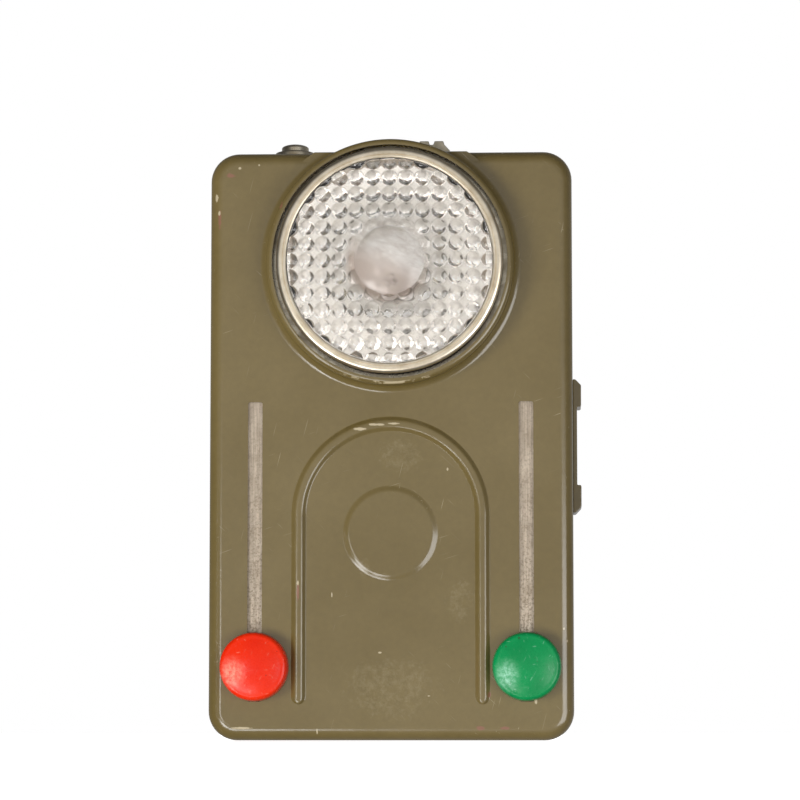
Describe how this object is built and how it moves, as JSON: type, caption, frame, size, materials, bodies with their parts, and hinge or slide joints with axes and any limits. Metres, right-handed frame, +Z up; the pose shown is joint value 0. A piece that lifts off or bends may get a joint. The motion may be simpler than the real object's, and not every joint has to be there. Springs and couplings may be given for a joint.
{
  "type": "signal flashlight",
  "caption": "Pressed-steel hand-held signal lamp with a pillow lens, a red and a green filter on sliding knobs, a Morse button, a switch and a hinged rear cover.",
  "frame": {"origin": "centre of the case's flat bottom, half way between the lamp's front and rear faces", "axes": "+Z up along the case, +X to the right of someone who looks at the lens, -Y out of the lens"},
  "size_m": [0.0812, 0.0426, 0.1299],
  "materials": {
    "olive_paint": "semi-gloss olive drab enamel on pressed steel, scratched and chipped",
    "nickel": "worn nickel plate on brass",
    "zinc_steel": "dull zinc-plated steel sheet",
    "spring_steel": "bright spring steel",
    "brass": "stamped brass, slightly tarnished",
    "lens_glass": "clear pressed glass with a pillow pattern",
    "bulb_glass": "clear blown glass",
    "mirror": "polished reflector",
    "rubber": "black gasket rubber",
    "red_plastic": "glossy moulded red",
    "green_plastic": "glossy moulded green",
    "red_film": "clear red filter sheet",
    "green_film": "clear green filter sheet",
    "board": "brown hard-paper board",
    "battery_wrap": "plain blue printed card"
  },
  "bodies": {
    "case": {"front_housing": "olive_paint", "hinge_leaf_fixed": "zinc_steel", "hinge_pin": "zinc_steel", "lens_seat": "nickel", "lens_gasket": "rubber", "reflector": "mirror", "bulb_glass": "bulb_glass", "bulb_base": "brass", "bulb_socket": "brass", "chassis_plate": "zinc_steel", "button_bush": "nickel", "button_nut": "nickel", "button_spring": "spring_steel", "battery_case": "battery_wrap", "battery_tongue_short": "brass", "battery_tongue_long": "brass", "terminal_board": "board", "plus_contact": "brass", "minus_contact": "brass", "board_rivet_left": "zinc_steel", "board_rivet_right": "zinc_steel", "contact_rivet_plus": "brass", "contact_rivet_minus": "brass"},
    "red_slide": {"red_knob": "red_plastic", "red_rivet": "zinc_steel", "red_plate": "zinc_steel", "red_film": "red_film"},
    "green_slide": {"green_knob": "green_plastic", "green_rivet": "zinc_steel", "green_plate": "zinc_steel", "green_film": "green_film"},
    "button": {"button_plunger": "nickel", "button_washer": "zinc_steel"},
    "switch": {"switch_knob": "nickel", "switch_plate": "zinc_steel"},
    "catch": {"catch_slide": "olive_paint", "catch_plate": "zinc_steel"},
    "cover": {"rear_cover": "olive_paint", "hinge_leaf_moving": "zinc_steel", "belt_clip": "spring_steel", "clip_rivet_lower": "zinc_steel", "clip_rivet_upper": "zinc_steel", "battery_spring": "spring_steel"},
    "lens_holder": {"lens": "lens_glass"},
    "ring": {"lens_ring": "nickel"}
  },
  "joints": [
    {"name": "red_filter_slide", "type": "slide", "parent": "case", "child": "red_slide", "axis": [0, 0, 1], "range_m": [0, 0.0492]},
    {"name": "green_filter_slide", "type": "slide", "parent": "case", "child": "green_slide", "axis": [0, 0, 1], "range_m": [0, 0.0492]},
    {"name": "morse_button", "type": "slide", "parent": "case", "child": "button", "axis": [0, 0, -1], "range_m": [0, 0.0015], "stiffness_N_per_m": 500, "springref_m": -0.002, "deforming": ["button_spring"]},
    {"name": "switch_slide", "type": "slide", "parent": "case", "child": "switch", "axis": [1, 0, 0], "range_m": [-0.007, 0]},
    {"name": "cover_catch", "type": "slide", "parent": "case", "child": "catch", "axis": [0, 0, 1], "range_m": [0, 0.005]},
    {"name": "cover_hinge", "type": "hinge", "parent": "case", "child": "cover", "pos_m": [-0.0389, 0.00995, 0], "axis": [0, 0, 1], "range_deg": [0, 100]},
    {"name": "lens_advance", "type": "slide", "parent": "case", "child": "lens_holder", "axis": [0, -1, 0], "range_m": [0, 0.002]},
    {"name": "lens_ring_turn", "type": "hinge", "parent": "lens_holder", "child": "ring", "pos_m": [0, -0.0212, 0.102], "axis": [0, -1, 0], "range_deg": [0, 720]}
  ],
  "couplings": [
    {"joint": "lens_advance", "follows": "lens_ring_turn", "m_per_rad": 0.00015915}
  ]
}
